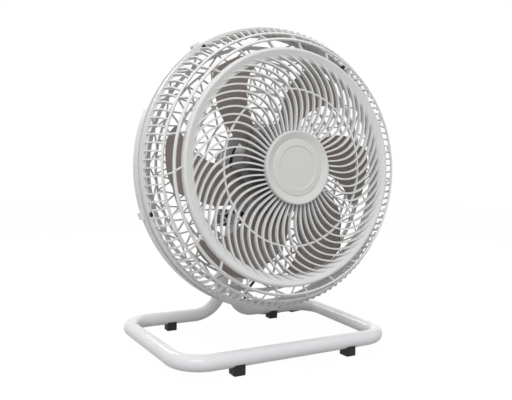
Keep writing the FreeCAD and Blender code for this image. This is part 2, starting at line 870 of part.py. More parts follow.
# Impeller: six twisted blades cut from one slab by their outline, on a cup-shaped hub
outline_points = []
for share, deg in zip(lead_radius_shares, lead_angles_deg):
    outline_points.append(polar(blade_tip_radius * share, deg))
for share, deg in zip(tip_radius_shares, tip_angles_deg):
    outline_points.append(polar(blade_tip_radius * share, deg))
for share, deg in zip(trail_radius_shares, trail_angles_deg):
    outline_points.append(polar(blade_tip_radius * share, deg))
blade_plan = Part.Wire([curve(outline_points), Part.makeLine(outline_points[-1], outline_points[0])])
blade_prism = Part.Face(blade_plan).extrude(Z * blade_tip_radius)
blade_prism.translate(Z * (blade_mid_s - blade_tip_radius / 2))


def slab_section(x_share, pitch_deg, mid_share):
    x = blade_tip_radius * x_share
    lead_y = -blade_tip_radius * blade_slab_lead_share
    trail_y = blade_tip_radius * blade_slab_trail_share
    mid_y = (lead_y + trail_y) / 2
    slope = math.tan(rad(pitch_deg))
    centre_y = blade_tip_radius * mid_share
    faces = []
    for side in (-1, 1):
        lift = blade_mid_s + side * blade_thick / 2
        ends = [V(x, y, lift + slope * (y - centre_y) + blade_camber / 2) for y in (lead_y, trail_y)]
        middle = V(x, mid_y, lift + slope * (mid_y - centre_y) - blade_camber / 2)
        faces.append((ends[0], middle, ends[1]))
    low, high = faces
    return Part.Wire([
        Part.Arc(low[0], low[1], low[2]).toShape(),
        Part.makeLine(low[2], high[2]),
        Part.Arc(high[2], high[1], high[0]).toShape(),
        Part.makeLine(high[0], low[0]),
    ])


root = slab_section(blade_slab_root_share, blade_root_pitch_deg, blade_root_mid_share)
end = slab_section(blade_slab_tip_share, blade_tip_pitch_deg, blade_tip_mid_share)
slab = Part.makeLoft([root, end], True, True)
blade = slab.common(blade_prism)
hub_inner = fan_hub_radius - fan_hub_wall
hub_wall_s = fan_hub_front_s - fan_hub_wall
hub_cup = turned([
    (fan_hub_radius, fan_hub_rear_s),
    (fan_hub_radius, fan_hub_front_s - fan_hub_round),
    (fan_hub_radius - fan_hub_round, fan_hub_front_s),
    (shaft_radius + fit_gap, fan_hub_front_s),
    (shaft_radius + fit_gap, boss_rear_s),
    (boss_radius, boss_rear_s),
    (boss_radius, hub_wall_s),
    (fan_hub_radius - fan_hub_round - fan_hub_wall / 2, hub_wall_s),
    (hub_inner, fan_hub_front_s - fan_hub_round - fan_hub_wall / 2),
    (hub_inner, fan_hub_rear_s),
])
pin_slot = Part.makeBox(
    2 * boss_radius, 2 * (pin_radius + seat_gap), pin_slot_depth,
    V(-boss_radius, -pin_radius - seat_gap, boss_rear_s),
)
impeller = hub_cup.fuse(Part.makeCompound(around(blade, blade_count, blade_first_deg))).cut(pin_slot)
save("impeller", placed(impeller))

# Shaft, drive pin and the nut that clamps the impeller
pin_s = boss_rear_s + pin_slot_depth - pin_radius - seat_gap
pin_start = V(-pin_length / 2, 0, pin_s)
pin_hole = rod(pin_start, X, pin_radius + fit_gap, pin_length)
motor_shaft = rod(V(0, 0, shaft_rear_s), Z, shaft_radius, shaft_front_s - shaft_rear_s).cut(pin_hole)
save("motor_shaft", placed(motor_shaft))
save("drive_pin", placed(rod(pin_start, X, pin_radius, pin_length)))
nut = rod(V(0, 0, fan_hub_front_s), Z, nut_radius, nut_length)
nut_bore_depth = shaft_front_s - fan_hub_front_s + fit_gap
nut = nut.cut(rod(V(0, 0, fan_hub_front_s), Z, shaft_radius + fit_gap, nut_bore_depth))
nut_flute = rod(V(nut_radius, 0, fan_hub_front_s + nut_flute_radius), Z, nut_flute_radius, nut_length)
nut = nut.cut(Part.makeCompound(around(nut_flute, nut_flutes)))
save("impeller_nut", placed(nut))

# Motor housings, split across the stator
motor_inner = motor_radius - motor_wall
nose_wall_s = nose_front_s - motor_wall
bearing_seat = bearing_radius + fit_gap
bearing_boss = bearing_seat + bearing_wall
front_boss_s = nose_wall_s - bearing_length
flange_s = back_rear_s
front_housing = turned([
    (shaft_radius + shaft_clear, nose_front_s),
    (motor_radius - nose_round, nose_front_s),
    (motor_radius, nose_front_s - nose_round),
    (motor_radius, flange_s),
    (flange_radius, flange_s),
    (flange_radius, flange_s - flange_thick),
    (motor_radius, flange_s - flange_thick),
    (motor_radius, split_s),
    (motor_inner, split_s),
    (motor_inner, nose_wall_s - nose_round),
    (motor_inner - nose_round, nose_wall_s),
    (bearing_boss, nose_wall_s),
    (bearing_boss, front_boss_s),
    (bearing_seat, front_boss_s),
    (bearing_seat, nose_wall_s),
    (shaft_radius + shaft_clear, nose_wall_s),
])
flange_holes = [rod(p + Z * (flange_s - flange_thick), Z, plate_screw_radius + fit_gap, flange_thick)
                for p in plate_screw_places]
lug_place = polar(lug_out, 0)
lug_hole = rod(lug_place + Z * (split_s - lug_length), Z, motor_screw_radius + fit_gap, 2 * lug_length)
lug_holes = Part.makeCompound(around(lug_hole, lug_count, lug_first_deg))
bore_clear = rod(V(0, 0, split_s - lug_length), Z, motor_inner, 2 * lug_length)
front_lug = rod(lug_place + Z * split_s, Z, lug_radius, lug_length).cut(bore_clear)
front_lugs = around(front_lug, lug_count, lug_first_deg)
front_housing = front_housing.fuse(Part.makeCompound(front_lugs))
front_housing = front_housing.cut(Part.makeCompound(flange_holes)).cut(lug_holes)
save("motor_front_housing", placed(front_housing))

back_wall_s = motor_rear_s + motor_wall
rear_boss_s = back_wall_s + bearing_length + seat_gap
rear_cover = turned([
    (motor_inner, split_s),
    (motor_radius, split_s),
    (motor_radius, motor_rear_s + cover_round),
    (motor_radius - cover_round * bend_middle_share, motor_rear_s + cover_round * bend_middle_share),
    (motor_radius - cover_round, motor_rear_s),
    (0, motor_rear_s),
    (0, back_wall_s),
    (bearing_seat, back_wall_s),
    (bearing_seat, rear_boss_s),
    (bearing_boss, rear_boss_s),
    (bearing_boss, back_wall_s),
    (motor_inner - cover_round, back_wall_s),
    (motor_inner, back_wall_s + cover_round),
])
rear_lug = rod(lug_place + Z * (split_s - lug_length), Z, lug_radius, lug_length).cut(bore_clear)
rear_cover = rear_cover.fuse(Part.makeCompound(around(rear_lug, lug_count, lug_first_deg)))
vent = Part.makeBox(
    2 * motor_wall + overrun, vent_width, vent_length,
    V(motor_inner - motor_wall, -vent_width / 2, split_s - vent_setback - vent_length),
)
vents = []
for i in range(vent_count):
    deg = (2 * i + 1) * 180.0 / vent_count
    off_bracket = abs(deg - down_deg) > 2 * saddle_half_angle_deg
    off_lugs = min(abs(deg - lug_first_deg - k * 360.0 / lug_count) for k in range(lug_count)) > vent_width
    if off_bracket and off_lugs:
        copy = vent.copy()
        copy.rotate(ZERO, Z, deg)
        vents.append(copy)
switch_place = V(0, switch_height, motor_rear_s)
switch_hole = rod(switch_place, Z, switch_shaft_radius + move_gap, motor_wall)
rear_cover = rear_cover.cut(Part.makeCompound(vents)).cut(lug_holes).cut(switch_hole)

pivot_local = HEAD.inverse().multVec(pivot)
saddle_front_s = split_s - saddle_setback
saddle_rear_s = saddle_front_s - saddle_length
bracket_screw_axes = []
for s in (saddle_front_s - bracket_screw_inset, saddle_rear_s + bracket_screw_inset):
    for side in (-1, 1):
        out = polar(motor_radius, down_deg + side * bracket_screw_angle_deg)
        bracket_screw_axes.append((out + Z * s, out * (1 / motor_radius)))
screw_cuts = [rod(p - d * bracket_screw_reach, d, bracket_screw_radius + fit_gap, 2 * bracket_screw_reach)
              for p, d in bracket_screw_axes]
rear_cover = rear_cover.cut(Part.makeCompound(screw_cuts))
save("motor_rear_cover", placed(rear_cover))

# Tilt bracket: a curved saddle under the motor with a tongue down to the pivot bolt
saddle_inner = motor_radius + fit_gap
saddle_face = Part.Face(polygon([
    polar(saddle_inner, down_deg - saddle_half_angle_deg, saddle_rear_s),
    polar(saddle_inner + saddle_thick, down_deg - saddle_half_angle_deg, saddle_rear_s),
    polar(saddle_inner + saddle_thick, down_deg - saddle_half_angle_deg, saddle_front_s),
    polar(saddle_inner, down_deg - saddle_half_angle_deg, saddle_front_s),
]))
saddle = saddle_face.revolve(ZERO, Z, 2 * saddle_half_angle_deg)
tongue_top = -saddle_inner - saddle_thick / 2
to_pivot = pivot_local - V(0, tongue_top, (saddle_front_s + saddle_rear_s) / 2)
square = X.cross(to_pivot).normalize() * tongue_boss_radius
tongue_points = [
    V(0, tongue_top, saddle_front_s),
    V(0, tongue_top, saddle_rear_s),
    pivot_local + square,
    pivot_local - square,
]
tongue_start = X * (-tongue_thick / 2)
tongue = Part.Face(polygon([p + tongue_start for p in tongue_points])).extrude(X * tongue_thick)
boss = rod(pivot_local + tongue_start, X, tongue_boss_radius, tongue_thick)
pivot_hole = rod(pivot_local + tongue_start * 2, X, bolt_radius + fit_gap, 2 * tongue_thick)
bracket = saddle.fuse(tongue).fuse(boss).cut(pivot_hole).cut(Part.makeCompound(screw_cuts))
save("tilt_bracket", placed(bracket))


def headed_screw(point, out, shank_radius, reach, head_radius, head_height):
    head = rod(point, out, head_radius, head_height)
    return head.fuse(rod(point - out * reach, out, shank_radius, reach))


bracket_screws = []
for p, d in bracket_screw_axes:
    seat = p + d * (fit_gap + saddle_thick)
    screw = headed_screw(seat, d, bracket_screw_radius, bracket_screw_reach + saddle_thick,
                         bracket_head_radius, bracket_head_height)
    crown = rod(Z * saddle_rear_s, Z, saddle_inner + saddle_thick, saddle_length)
    shank = screw.common(rod(p - d * bracket_screw_reach, d, bracket_screw_radius, 2 * bracket_screw_reach))
    bracket_screws.append(screw.cut(crown).fuse(shank))
save("bracket_screws", placed(Part.makeCompound(bracket_screws)))

plate_screws = [headed_screw(p + Z * dish_back_s, Z, plate_screw_radius, back_thick + flange_thick,
                             plate_head_radius, plate_head_height) for p in plate_screw_places]
save("rear_grille_screws", placed(Part.makeCompound(plate_screws)))
motor_screw = headed_screw(lug_place + Z * (split_s - lug_length), Z * -1, motor_screw_radius,
                           2 * lug_length - overrun, motor_head_radius, motor_head_height)
save("motor_screws", placed(Part.makeCompound(around(motor_screw, lug_count, lug_first_deg))))


def ring_solid(inner, outer, front_s, length):
    return turned([
        (inner, front_s),
        (outer, front_s),
        (outer, front_s - length),
        (inner, front_s - length),
    ])


bearing_bore = shaft_radius + bearing_gap
save("front_bearing", placed(ring_solid(bearing_bore, bearing_radius, nose_wall_s, bearing_length)))
rear_bearing_s = back_wall_s + bearing_length
save("rear_bearing", placed(ring_solid(bearing_bore, bearing_radius, rear_bearing_s, bearing_length)))
stator = ring_solid(stator_bore, motor_inner - seat_gap, stator_front_s, stator_length)
save("stator_core", placed(stator))
stator_rear_s = stator_front_s - stator_length
windings = [
    ring_solid(winding_inner, winding_outer, stator_front_s + winding_height, winding_height),
    ring_solid(winding_inner, winding_outer, stator_rear_s, winding_height),
]
save("stator_windings", placed(Part.makeCompound(windings)))
rotor = ring_solid(shaft_radius + fit_gap, stator_bore - rotor_gap, stator_front_s, stator_length)
save("rotor_core", placed(rotor))

# Speed switch, knob and capacitor at the back of the motor
switch_box = Part.makeBox(
    switch_width, switch_width, switch_depth,
    V(-switch_width / 2, switch_height - switch_width / 2, back_wall_s),
)
shaft_run = switch_shaft_length + motor_wall
switch_shaft = rod(switch_place - Z * switch_shaft_length, Z, switch_shaft_radius, shaft_run)
save("speed_switch", placed(switch_box.fuse(switch_shaft)))
knob_front = switch_place - Z * move_gap
speed_knob = rod(knob_front, Z * -1, speed_knob_radius, speed_knob_height)
back_edge = [e for e in speed_knob.Edges if e.BoundBox.ZMax < knob_front.z - speed_knob_height / 2]
speed_knob = speed_knob.makeFillet(speed_knob_wall / 2, [e for e in back_edge if e.Closed])
flute_list = []
for i in range(speed_knob_flutes):
    side = polar(speed_knob_radius, i * 360.0 / speed_knob_flutes)
    flute_list.append(rod(knob_front + side, Z * -1, speed_knob_flute_radius, speed_knob_height))
knob_bore = rod(knob_front, Z * -1, switch_shaft_radius + fit_gap, switch_shaft_length)
speed_knob = speed_knob.cut(Part.makeCompound(flute_list)).cut(knob_bore)
save("speed_knob", placed(speed_knob))
capacitor = Part.makeBox(
    capacitor_width, capacitor_height, capacitor_depth,
    V(-capacitor_width / 2, -capacitor_drop - capacitor_height / 2, back_wall_s),
)
save("capacitor", placed(capacitor))

# Strain relief with a round end that is centred on the tilt axis, so that tilting only turns it in place
gland_root = polar(motor_radius, gland_angle_deg, gland_s)
gland_end = V(gland_end_x, pivot_local.y, pivot_local.z)
gland_dir = (gland_end - gland_root).normalize()
gland_length = (gland_end - gland_root).Length
gland_start = gland_root - gland_dir * gland_sink
collar = rod(gland_start, gland_dir, gland_collar_radius, gland_sink + gland_collar_length)
taper_length = gland_length - gland_collar_length
taper = Part.makeCone(gland_root_radius, gland_tip_radius, taper_length,
                      gland_root + gland_dir * gland_collar_length, gland_dir)
grooves = []
for i in range(gland_grooves):
    along = gland_collar_length + taper_length * (i + 1) / (gland_grooves + 2)
    taper_share = (along - gland_collar_length) / taper_length
    ring_radius = gland_root_radius + (gland_tip_radius - gland_root_radius) * taper_share
    groove_start = gland_root + gland_dir * along
    blank = rod(groove_start, gland_dir, gland_root_radius + overrun, gland_groove_width)
    core = rod(groove_start, gland_dir, ring_radius - gland_groove_depth, gland_groove_width)
    grooves.append(blank.cut(core))
clear = rod(Z * (motor_rear_s - overrun), Z, motor_radius + fit_gap, split_s - motor_rear_s)
ball = Part.makeSphere(gland_tip_radius, gland_end)
gland = collar.fuse(taper).fuse(ball).cut(clear).cut(Part.makeCompound(grooves))
save("cord_gland", placed(gland))

# Mains cord: a free stretch down to the floor and a put-away coil behind the base
cord_radius = cord_diameter / 2
coil_low = cord_radius + coil_lift
coil_high = coil_low + cord_diameter + coil_gap
coil_step = cord_diameter + coil_gap
coil_total = coil_loops + (coil_end_deg - coil_start_deg) / 360.0
layer_turns = (coil_total - coil_cross_turns) / 2


def coil_at(turn):
    """Place on the coil after a number of turns: in on the top layer, down, out on the floor."""
    inner = coil_outer_radius - coil_step * layer_turns
    if turn < layer_turns:
        r = coil_outer_radius - coil_step * turn
        z = coil_high
    elif turn < layer_turns + coil_cross_turns:
        share = (turn - layer_turns) / coil_cross_turns
        r = inner - coil_step / 4 * math.sin(math.pi * share) / math.pi * 2
        z = coil_high + (coil_low - coil_high) * (1 - math.cos(math.pi * share)) / 2
    else:
        r = inner + coil_step * (turn - layer_turns - coil_cross_turns)
        z = coil_low
    deg = coil_start_deg + turn * 360.0
    return V(coil_x + r * math.cos(rad(deg)), coil_y + r * math.sin(rad(deg)), z)


def coil_heading(turn):
    step = 1.0 / 3600
    return (coil_at(turn + step) - coil_at(turn - step)).normalize()


def arc_from(start, control, end):
    middle = (start + end) * 0.5
    half = (end - start).Length / 2
    rise = (control - middle).Length
    bend = math.atan2(rise, half)
    top = middle + (control - middle).normalize() * (half * math.tan(bend / 2))
    return Part.Arc(start, top, end).toShape()


def biarc(p0, t0, p1, t1):
    v = p1 - p0
    t = t0 + t1
    a = 2 * (1 - t0.dot(t1))
    b = 2 * v.dot(t)
    d = (-b + math.sqrt(b * b + 4 * a * v.dot(v))) / (2 * a)
    q0 = p0 + t0 * d
    q1 = p1 - t1 * d
    joint = (q0 + q1) * 0.5
    return [arc_from(p0, q0, joint), arc_from(joint, q1, p1)]


marks = [0.0]
while marks[-1] + coil_mark_turns < layer_turns:
    marks.append(marks[-1] + coil_mark_turns)
spread = layer_turns / len(marks)
marks = [i * spread for i in range(len(marks) + 1)]
half_way = layer_turns + coil_cross_turns / 2
marks = marks + [half_way] + [layer_turns + coil_cross_turns + m for m in marks]
begin = coil_at(0)
begin_dir = V(coil_heading(0).x, coil_heading(0).y, 0).normalize()
coil_start = begin - begin_dir * cord_diameter
coil_edges = [Part.makeLine(coil_start, begin)]
for m0, m1 in zip(marks[:-1], marks[1:]):
    t0 = begin_dir if m0 == 0 else coil_heading(m0)
    coil_edges += biarc(coil_at(m0), t0, coil_at(m1), coil_heading(m1))
last = coil_at(marks[-1])
last_dir = coil_heading(marks[-1])
coil_end = last + last_dir * coil_end_run
coil_edges.append(Part.makeLine(last, coil_end))
coil_path = Part.Wire(coil_edges)


def cord_section(point, axis):
    side = axis.cross(Z).normalize()
    up = side.cross(axis).normalize()
    grow = cord_radius / math.cos(math.pi / cord_sides)
    points = []
    for i in range(cord_sides):
        a = (2 * i + 1) * math.pi / cord_sides
        points.append(point + side * (grow * math.cos(a)) + up * (grow * math.sin(a)))
    return polygon(points)


cord_coil = swept(coil_path, cord_section(coil_start, begin_dir))
save("cord_coil", cord_coil)
samples = []
for edge in coil_edges:
    count = max(2, int(edge.Length / cord_radius * 2))
    for q in edge.discretize(count)[:-1]:
        samples.append(q)
travel = [0.0]
for a, b in zip(samples[:-1], samples[1:]):
    travel.append(travel[-1] + (b - a).Length)
least = min((samples[i] - samples[j]).Length
            for i in range(len(samples)) for j in range(i)
            if travel[i] - travel[j] > 3 * cord_diameter)
print("coil: least gap", round(least - cord_diameter, 2), "length", round(coil_path.Length))

cord_out = HEAD.Rotation.multVec(gland_dir)
gland_tip = in_world(gland_end) + cord_out * (gland_tip_radius + move_gap)
stretch_points = [gland_tip, gland_tip + cord_out * cord_lead]
stretch_points += [V(x, y, z) for x, y, z in cord_route]
stretch_points += [coil_start - begin_dir * cord_land, coil_start]
radii = []
for i in range(1, len(stretch_points) - 1):
    a = stretch_points[i - 1] - stretch_points[i]
    b = stretch_points[i + 1] - stretch_points[i]
    half_turn = (math.pi - a.getAngle(b)) / 2
    radii.append(cord_bend_share * min(a.Length, b.Length) / math.tan(half_turn))
print("cord radii", [round(r) for r in radii])
print("cord runs", [round((q - p).Length) for p, q in zip(stretch_points[:-1], stretch_points[1:])])
stretch_path = bent_path(stretch_points, radii)
cord_stretch = swept(stretch_path, cord_section(gland_tip, cord_out))
section_area = Part.Face(cord_section(gland_tip, cord_out)).Area
print("cord volume ratio", round(cord_stretch.Volume / (section_area * stretch_path.Length), 4),
      "length", round(stretch_path.Length))
save("cord_stretch", cord_stretch)

# Tie round the coil and the plug at the far end
tie_dir = V(math.cos(rad(tie_angle_deg)), math.sin(rad(tie_angle_deg)), 0)
tie_side = V(-tie_dir.y, tie_dir.x, 0)
tie_inner = coil_outer_radius - coil_step * (layer_turns + coil_cross_turns) - cord_diameter
tie_outer = coil_outer_radius + cord_diameter
tie_low = coil_lift - move_gap
tie_high = coil_high + cord_radius + move_gap
coil_centre = V(coil_x, coil_y, 0)


def tie_box(grow):
    start = coil_centre + tie_dir * (tie_inner - grow) - tie_side * (tie_width / 2) + Z * (tie_low - grow)
    along = tie_dir * (tie_outer - tie_inner + 2 * grow)
    up = Z * (tie_high - tie_low + 2 * grow)
    side_face = Part.Face(polygon([start, start + along, start + along + up, start + up]))
    return side_face.extrude(tie_side * tie_width)


save("cord_tie", tie_box(tie_thick).cut(tie_box(0)))

plug_side = last_dir.cross(Z).normalize()
neck = Part.makeCone(plug_neck_radius, plug_neck_radius + overrun, plug_neck, coil_end, last_dir)
plug_start = coil_end + last_dir * plug_neck
corner = plug_start + plug_side * (-plug_width / 2) - Z * plug_start.z
body = Part.Face(polygon([
    corner,
    corner + plug_side * plug_width,
    corner + plug_side * plug_width + Z * plug_height,
    corner + Z * plug_height,
])).extrude(last_dir * plug_length)
plug_edges = [e for e in body.Edges
              if abs((e.lastVertex().Point - e.firstVertex().Point).dot(last_dir)) > plug_corner]
body = body.makeFillet(plug_corner, plug_edges)
pin_face = plug_start + last_dir * plug_length
pin_places = [pin_face + plug_side * (side * plug_pin_pitch / 2) for side in (-1, 1)]
plug = neck.fuse(body)
save("mains_plug", plug)
pins = [rod(p, last_dir, plug_pin_radius, plug_pin_length) for p in pin_places]
save("plug_pins", Part.makeCompound(pins))
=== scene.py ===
# %% [markdown]
# # A floor fan with a tilting head
# This lesson dresses a packed CAD model of a floor fan: a drum of pale ribs on a low frame of white tube.
# The solids already have their true places, so nothing is moved here. Each solid gets a finish made of
# shader nodes, the soft mains cord is drawn again as one smooth curve, and the speed dial gets its marks.

# %% Load the fixed frame
import math

import bmesh
import bpy
from mathutils import Matrix, Vector


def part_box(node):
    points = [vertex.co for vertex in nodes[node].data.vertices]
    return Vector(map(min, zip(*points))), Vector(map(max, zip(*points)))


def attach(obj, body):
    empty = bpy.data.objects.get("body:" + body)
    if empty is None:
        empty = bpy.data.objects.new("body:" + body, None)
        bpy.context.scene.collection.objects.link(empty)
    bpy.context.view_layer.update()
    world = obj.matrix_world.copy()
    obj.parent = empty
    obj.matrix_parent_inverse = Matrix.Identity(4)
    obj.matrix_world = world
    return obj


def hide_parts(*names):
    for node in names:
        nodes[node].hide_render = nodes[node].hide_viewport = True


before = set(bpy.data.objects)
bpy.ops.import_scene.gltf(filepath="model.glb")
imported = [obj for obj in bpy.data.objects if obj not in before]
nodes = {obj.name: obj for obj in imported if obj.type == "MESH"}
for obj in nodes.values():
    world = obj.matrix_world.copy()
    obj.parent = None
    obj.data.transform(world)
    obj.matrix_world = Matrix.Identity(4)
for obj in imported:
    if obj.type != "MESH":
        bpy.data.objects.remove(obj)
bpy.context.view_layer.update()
scene = bpy.context.scene
scene.view_settings.view_transform = "Standard"

# %% [markdown]
# ## The camera
# The picture was taken from the left, at about the height of the motor, with the camera one degree off
# level. A lens is easier to reason about in pixels: the focal length over the picture's width, times the
# sensor's width, is the lens in millimetres. The camera could be turned until the fan sits in the frame, but
# then upright lines would lean, so a shift slides the frame over the fan instead.

# %% Camera
IMAGE_SIZE = (512, 400)
FOCAL_PIXELS = 505.07
AXIS_PIXEL = (260.98, 192.39)
CAMERA_PLACE = (-0.4522, -0.8337, 0.2783)
CAMERA_TURN_DEG = (90.0, -0.972, -28.868)
SENSOR_WIDTH = 36.0
NEAREST = 0.01
camera_data = bpy.data.cameras.new("camera")
camera = bpy.data.objects.new("camera", camera_data)
scene.collection.objects.link(camera)
camera.location = CAMERA_PLACE
camera.rotation_euler = [math.radians(a) for a in CAMERA_TURN_DEG]
camera_data.sensor_width = SENSOR_WIDTH
camera_data.lens = FOCAL_PIXELS / IMAGE_SIZE[0] * SENSOR_WIDTH
camera_data.shift_x = (IMAGE_SIZE[0] / 2 - AXIS_PIXEL[0]) / IMAGE_SIZE[0]
camera_data.shift_y = (AXIS_PIXEL[1] - IMAGE_SIZE[1] / 2) / IMAGE_SIZE[0]
camera_data.clip_start = NEAREST
scene.camera = camera
print("lens", round(camera_data.lens, 2))
print("shift", round(camera_data.shift_x, 4), round(camera_data.shift_y, 4))

# %% [markdown]
# ## Finishes
# A finish is a small tree of shader nodes. It could be wired by hand in the shader editor, but written as
# sums and products it can be read and changed. So one class wraps a socket and turns Python's operators into
# Math nodes. Any other node comes from one method, which takes the node's type, its settings, and the values
# or links of its sockets.


# %% Sockets in sums
class Wire:
    def __init__(self, maker, socket):
        self.maker = maker
        self.socket = socket

    def sum_of(self, operation, first, second):
        return self.maker.node("ShaderNodeMath", {"operation": operation}, {0: first, 1: second})

    def __add__(self, other):
        return self.sum_of("ADD", self, other)

    def __radd__(self, other):
        return self.sum_of("ADD", other, self)

    def __sub__(self, other):
        return self.sum_of("SUBTRACT", self, other)

    def __rsub__(self, other):
        return self.sum_of("SUBTRACT", other, self)

    def __mul__(self, other):
        return self.sum_of("MULTIPLY", self, other)

    def __rmul__(self, other):
        return self.sum_of("MULTIPLY", other, self)

    def __or__(self, other):
        return self.sum_of("MAXIMUM", self, other)


print("a wire takes + - * and |")


# %% One maker of nodes
class Maker:
    def __init__(self, owner):
        owner.use_nodes = True
        self.owner = owner
        self.tree = owner.node_tree
        self.tree.nodes.clear()

    def node(self, kind, settings, inputs, output=0):
        made = self.tree.nodes.new(kind)
        for key, value in settings.items():
            setattr(made, key, value)
        for key, value in inputs.items():
            if isinstance(value, Wire):
                self.tree.links.new(value.socket, made.inputs[key])
            else:
                made.inputs[key].default_value = value
        return Wire(self, made.outputs[output]) if made.outputs else None


# %% [markdown]
# ## Words that finishes share
# Every finish here is built from the same few things: a noise, a soft threshold, a mix of two colours and a
# bump. Places are taken in the object's own space, so a finish stays put when the head tilts or the blades
# turn. Mix inputs are numbered, because a Mix node has one set of sockets for each kind of value.

# %% Helpers that every finish uses
AXIS_HEIGHT = 0.32
MIX_FACTOR, MIX_FIRST, MIX_SECOND, MIX_RESULT = 0, 6, 7, 2


def with_alpha(colour):
    return colour if isinstance(colour, Wire) else colour + (1,)


class Finish(Maker):
    def __init__(self, name):
        super().__init__(bpy.data.materials.new(name))

    def noise(self, scale, detail, stretch=(1, 1, 1)):
        at = self.node("ShaderNodeTexCoord", {}, {}, "Object")
        spread = self.node("ShaderNodeMapping", {}, {"Vector": at, "Scale": stretch})
        inputs = {"Vector": spread, "Scale": scale, "Detail": detail}
        return self.node("ShaderNodeTexNoise", {}, inputs, "Fac")

    def rising(self, value, low, high):
        """Zero below low and one above high."""
        return self.node("ShaderNodeMapRange", {}, {"Value": value, "From Min": low, "From Max": high})

    def shade(self, low, high, amount):
        ends = {MIX_FACTOR: amount, MIX_FIRST: with_alpha(low), MIX_SECOND: with_alpha(high)}
        return self.node("ShaderNodeMix", {"data_type": "RGBA"}, ends, MIX_RESULT)

    def bump(self, height, strength, distance):
        inputs = {"Height": height, "Strength": strength, "Distance": distance}
        return self.node("ShaderNodeBump", {}, inputs)

    def upward(self):
        """How far a place on the surface faces the ceiling, from -1 to 1."""
        normal = self.node("ShaderNodeTexCoord", {}, {}, "Normal")
        return self.node("ShaderNodeSeparateXYZ", {}, {0: normal}, "Z")

    def from_axis(self):
        """How far a place is from the axis of the blades, in metres."""
        at = self.node("ShaderNodeTexCoord", {}, {}, "Object")
        middle = (0, 0, AXIS_HEIGHT)
        off = self.node("ShaderNodeVectorMath", {"operation": "SUBTRACT"}, {0: at, 1: middle})
        flat = self.node("ShaderNodeVectorMath", {"operation": "MULTIPLY"}, {0: off, 1: (1, 0, 1)})
        return self.node("ShaderNodeVectorMath", {"operation": "LENGTH"}, {0: flat}, "Value")

    def done(self, inputs):
        shader = self.node("ShaderNodeBsdfPrincipled", {}, inputs)
        self.node("ShaderNodeOutputMaterial", {}, {"Surface": shader})
        return self.owner


print("helpers", [name for name in vars(Finish) if not name.startswith("_")])

# %% [markdown]
# ## Moulded plastic
# The grilles, the badge and the blades are injection moulded. A real moulding is never one flat tone: the
# colour drifts slowly where the melt flowed, a fine spark-eroded grain breaks the gloss, and a little dust
# settles where the surface faces up. All three are noise at different scales. Towards the hub the blades
# get a painted shade, a darker colour for the shadow that the badge and hub cast on their roots. A second
# material could do that, but a distance from the axis gives the painted shade a soft edge.

# %% Plastics
FLOW_SCALE, FLOW_DETAIL, FLOW_ROUGHNESS = 9.0, 3.0, 0.1
GRAIN_SCALE, GRAIN_DETAIL, GRAIN_ROUGHNESS, GRAIN_DEPTH = 1500.0, 2.0, 0.06, 0.0002
DUST_SCALE, DUST_DETAIL, DUST_ROUGHNESS = 240.0, 4.0, 0.3
DUST_FROM, DUST_FULL = 0.55, 1.0
DUST_COLOUR = (0.50, 0.48, 0.45)
HUB_RADIUS, ROOT_RADIUS = 0.062, 0.092
SATIN = 0.25


def moulded(name, colour, roughness, grain, drift=0.03, dust=0.0, hub_shade_colour=None):
    finish = Finish(name)
    flow = finish.noise(FLOW_SCALE, FLOW_DETAIL)
    fine = finish.noise(GRAIN_SCALE, GRAIN_DETAIL)
    low = tuple(c * (1 - drift) for c in colour)
    high = tuple(c * (1 + drift) for c in colour)
    body = finish.shade(low, high, flow)
    if hub_shade_colour:
        # painted shade: the blades darken towards the hub, where the badge and hub shade their roots
        painted_hub_shade = 1 - finish.rising(finish.from_axis(), HUB_RADIUS, ROOT_RADIUS)
        body = finish.shade(body, hub_shade_colour, painted_hub_shade)
    facing_up = finish.rising(finish.upward(), DUST_FROM, DUST_FULL)
    settled = facing_up * finish.noise(DUST_SCALE, DUST_DETAIL) * dust
    level = roughness - (FLOW_ROUGHNESS + GRAIN_ROUGHNESS) / 2
    return finish.done({
        "Base Color": finish.shade(body, DUST_COLOUR, settled),
        "Roughness": flow * FLOW_ROUGHNESS + fine * GRAIN_ROUGHNESS + settled * DUST_ROUGHNESS + level,
        "Normal": finish.bump(fine, grain, GRAIN_DEPTH),
        "Specular IOR Level": SATIN,
    })


grille_grey = moulded("grille_grey", (0.64, 0.645, 0.635), 0.40, 0.05, dust=0.12)
badge_grey = moulded("badge_grey", (0.59, 0.595, 0.58), 0.30, 0.04, dust=0.05)
# the darker hub colour of the blades is painted shade, not a second plastic
blade_taupe = moulded("blade_taupe", (0.257, 0.222, 0.214), 0.36, 0.06, dust=0.1,
                      hub_shade_colour=(0.095, 0.094, 0.094))
motor_black = moulded("motor_black", (0.034, 0.034, 0.035), 0.50, 0.35, 0.12, dust=0.16)
knob_black = moulded("knob_black", (0.016, 0.016, 0.017), 0.42, 0.25, 0.12, dust=0.08)
print("plastics", [m.name for m in (grille_grey, badge_grey, blade_taupe, motor_black, knob_black)])

# %% [markdown]
# ## Painted tube
# The base is powder-coated steel. Powder paint melts into a thick skin that shines. One glossy surface could
# show that, but its edges would wash out against the white. So a clear coat draws the streaks of the lamps,
# over a matte body that has no reflection of its own.

# %% Paint
TONE_SCALE, TONE_DETAIL = 6.0, 2.0
PAINT_LOW, PAINT_HIGH = (0.635, 0.635, 0.65), (0.675, 0.675, 0.69)
PAINT_ROUGHNESS, PAINT_ROUGHNESS_SPREAD = 0.18, 0.06
MATTE = 0.0
COAT, COAT_SPREAD, COAT_ROUGHNESS = 0.45, 0.1, 0.09
paint = Finish("tube_white")
tone = paint.noise(TONE_SCALE, TONE_DETAIL)
tube_white = paint.done({
    "Base Color": paint.shade(PAINT_LOW, PAINT_HIGH, tone),
    "Roughness": tone * PAINT_ROUGHNESS_SPREAD + PAINT_ROUGHNESS,
    "Specular IOR Level": MATTE,
    "Coat Weight": tone * COAT_SPREAD + COAT,
    "Coat Roughness": COAT_ROUGHNESS,
})
print("paint", tube_white.name)

